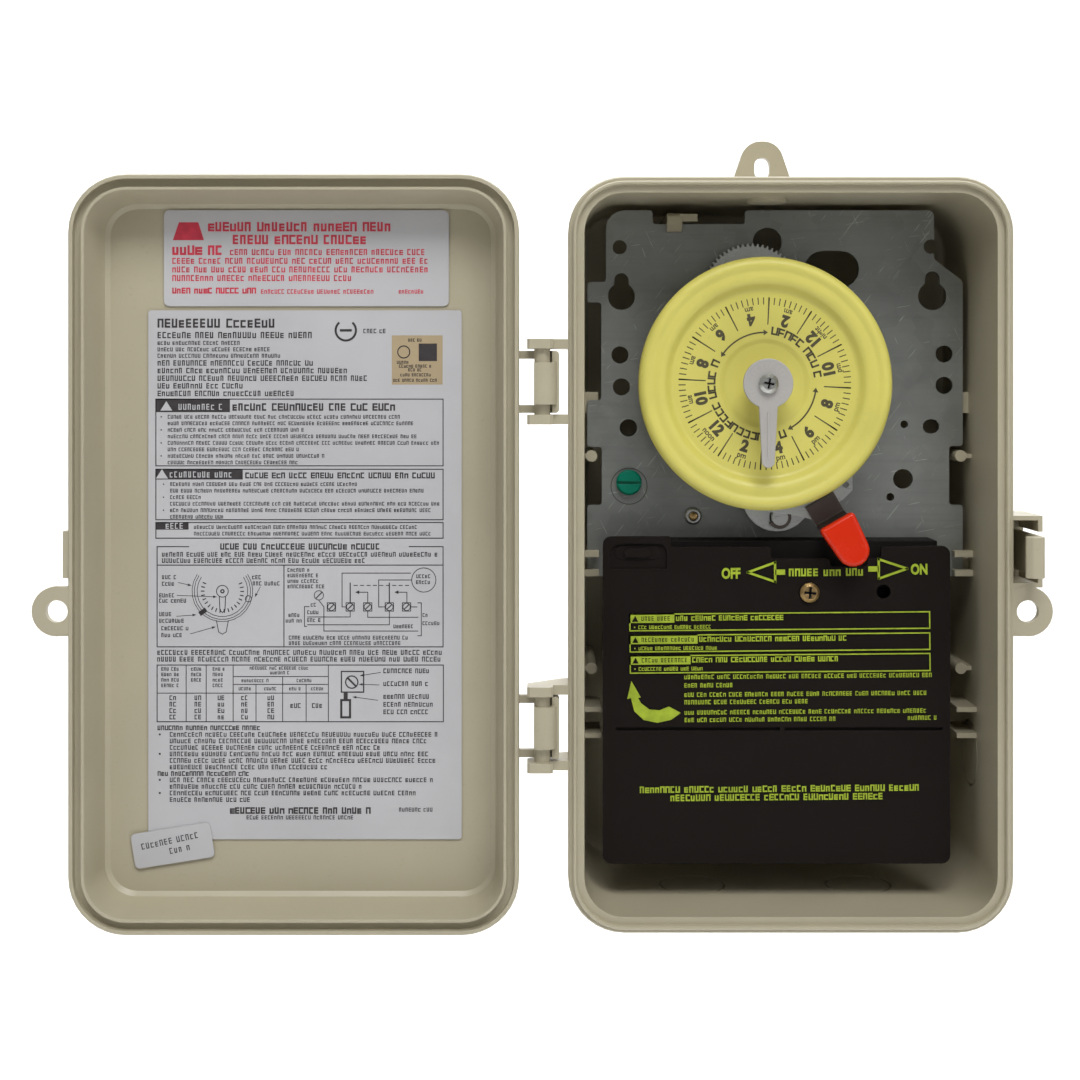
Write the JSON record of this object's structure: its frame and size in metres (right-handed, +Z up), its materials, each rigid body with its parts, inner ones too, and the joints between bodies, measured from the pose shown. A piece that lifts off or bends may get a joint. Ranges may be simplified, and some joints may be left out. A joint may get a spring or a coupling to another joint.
{
  "type": "mechanical time switch",
  "caption": "Wall-mounted 24-hour mechanical dial time switch in a rainproof two-piece plastic case, hinged door open to the left.",
  "frame": {"origin": "middle of the case's back face, which lies on the wall", "axes": "+Z up, +Y into the wall, +X to the right as seen from the front"},
  "size_m": [0.3172, 0.086, 0.2566],
  "materials": {
    "case_plastic": "fine moulded texture, satin",
    "galvanised_steel": "passivated sheet, satin",
    "zinc_steel": "zinc plated",
    "dark_steel": "dark spring steel",
    "black_plastic": "moulded, semi-gloss",
    "brass": "satin",
    "label_stock": "coated label, printed",
    "dial_yellow": "satin paint, printed",
    "pointer_grey": "satin",
    "red_vinyl": "dipped vinyl, glossy",
    "green_screw": "coloured head",
    "coil_tape": "winding tape"
  },
  "bodies": {
    "case": {"enclosure_base": "case_plastic", "mechanism_plate": "galvanised_steel", "plate_eyelet": "zinc_steel", "ground_screw": "green_screw", "motor_housing": "zinc_steel", "motor_coil": "coil_tape", "gear_stud": "zinc_steel", "center_arbor": "zinc_steel", "pointer": "pointer_grey", "pointer_screw": "zinc_steel", "lever_pivot_stud": "zinc_steel", "cam_post": "zinc_steel", "post_clip": "dark_steel", "fixed_contact_1": "brass", "fixed_contact_2": "brass", "switch_housing": "black_plastic", "terminal_block": "black_plastic", "terminal_plate_1": "brass", "terminal_plate_2": "brass", "terminal_plate_3": "brass", "terminal_plate_4": "brass", "terminal_plate_5": "brass", "terminal_screw_1": "zinc_steel", "terminal_screw_2": "zinc_steel", "terminal_screw_3": "zinc_steel", "terminal_screw_4": "zinc_steel", "terminal_screw_5": "zinc_steel"},
    "door": {"enclosure_door": "case_plastic", "door_label_upper": "label_stock", "door_label_main": "label_stock", "door_label_small": "label_stock"},
    "latch": {"latch_tongue": "case_plastic"},
    "clip": {"plate_clip": "case_plastic"},
    "dial_bush": {"dial_sleeve": "brass"},
    "dial_group": {"dial": "dial_yellow", "dial_gear": "zinc_steel"},
    "gear_group": {"cycle_gear": "zinc_steel"},
    "motor_rotor": {"motor_pinion": "brass"},
    "lever_group": {"trip_lever": "zinc_steel", "lever_strip": "dark_steel", "lever_tip": "red_vinyl"},
    "cam_group": {"switch_cam": "zinc_steel"},
    "contact_group": {"contact_carrier": "black_plastic", "moving_contact_1": "brass", "moving_contact_2": "brass"},
    "guard_group": {"terminal_guard": "black_plastic", "guard_screw": "brass"}
  },
  "joints": [
    {"name": "door_hinge", "type": "hinge", "parent": "case", "child": "door", "pos_m": [-0.0772, -0.076, 0], "axis": [0, 0, 1], "range_deg": [0, 180]},
    {"name": "latch_flex", "type": "hinge", "parent": "case", "child": "latch", "pos_m": [0.076, -0.056, 0], "axis": [0, 0, 1], "range_deg": [0, 8], "stiffness_Nm_per_rad": 1.5},
    {"name": "clip_flex", "type": "hinge", "parent": "case", "child": "clip", "pos_m": [-0.0335, -0.006, 0.108], "axis": [-1, 0, 0], "range_deg": [0, 4], "stiffness_Nm_per_rad": 1.5},
    {"name": "dial_pull", "type": "slide", "parent": "case", "child": "dial_bush", "axis": [0, -1, 0], "range_m": [0, 0.003], "stiffness_N_per_m": 200},
    {"name": "dial_turn", "type": "hinge", "parent": "dial_bush", "child": "dial_group", "pos_m": [-0.006, 0, 0.0532], "axis": [0, 1, 0], "continuous": true},
    {"name": "gear_turn", "type": "hinge", "parent": "case", "child": "gear_group", "pos_m": [-0.0083, 0, 0.0833], "axis": [0, 1, 0], "continuous": true},
    {"name": "motor_turn", "type": "hinge", "parent": "case", "child": "motor_rotor", "pos_m": [0.00897, 0, 0.07702], "axis": [0, 1, 0], "continuous": true},
    {"name": "lever_trip", "type": "hinge", "parent": "case", "child": "lever_group", "pos_m": [0.011, 0, 0.028], "axis": [0, -1, 0], "range_deg": [-35, 0]},
    {"name": "cam_turn", "type": "hinge", "parent": "case", "child": "cam_group", "pos_m": [0.0002, 0, 0.0097], "axis": [0, -1, 0], "range_deg": [0, 35]},
    {"name": "contact_rock", "type": "hinge", "parent": "case", "child": "contact_group", "pos_m": [0.0002, 0, -0.0047], "axis": [0, -1, 0], "range_deg": [-7, 0]},
    {"name": "guard_slide", "type": "slide", "parent": "case", "child": "guard_group", "axis": [0, -1, 0], "range_m": [0, 0.03]}
  ],
  "couplings": [
    {"joint": "gear_turn", "follows": "dial_turn", "ratio": -0.91667},
    {"joint": "motor_turn", "follows": "dial_turn", "ratio": 5.5},
    {"joint": "cam_turn", "follows": "lever_trip", "ratio": -1},
    {"joint": "contact_rock", "follows": "lever_trip", "ratio": 0.2}
  ]
}
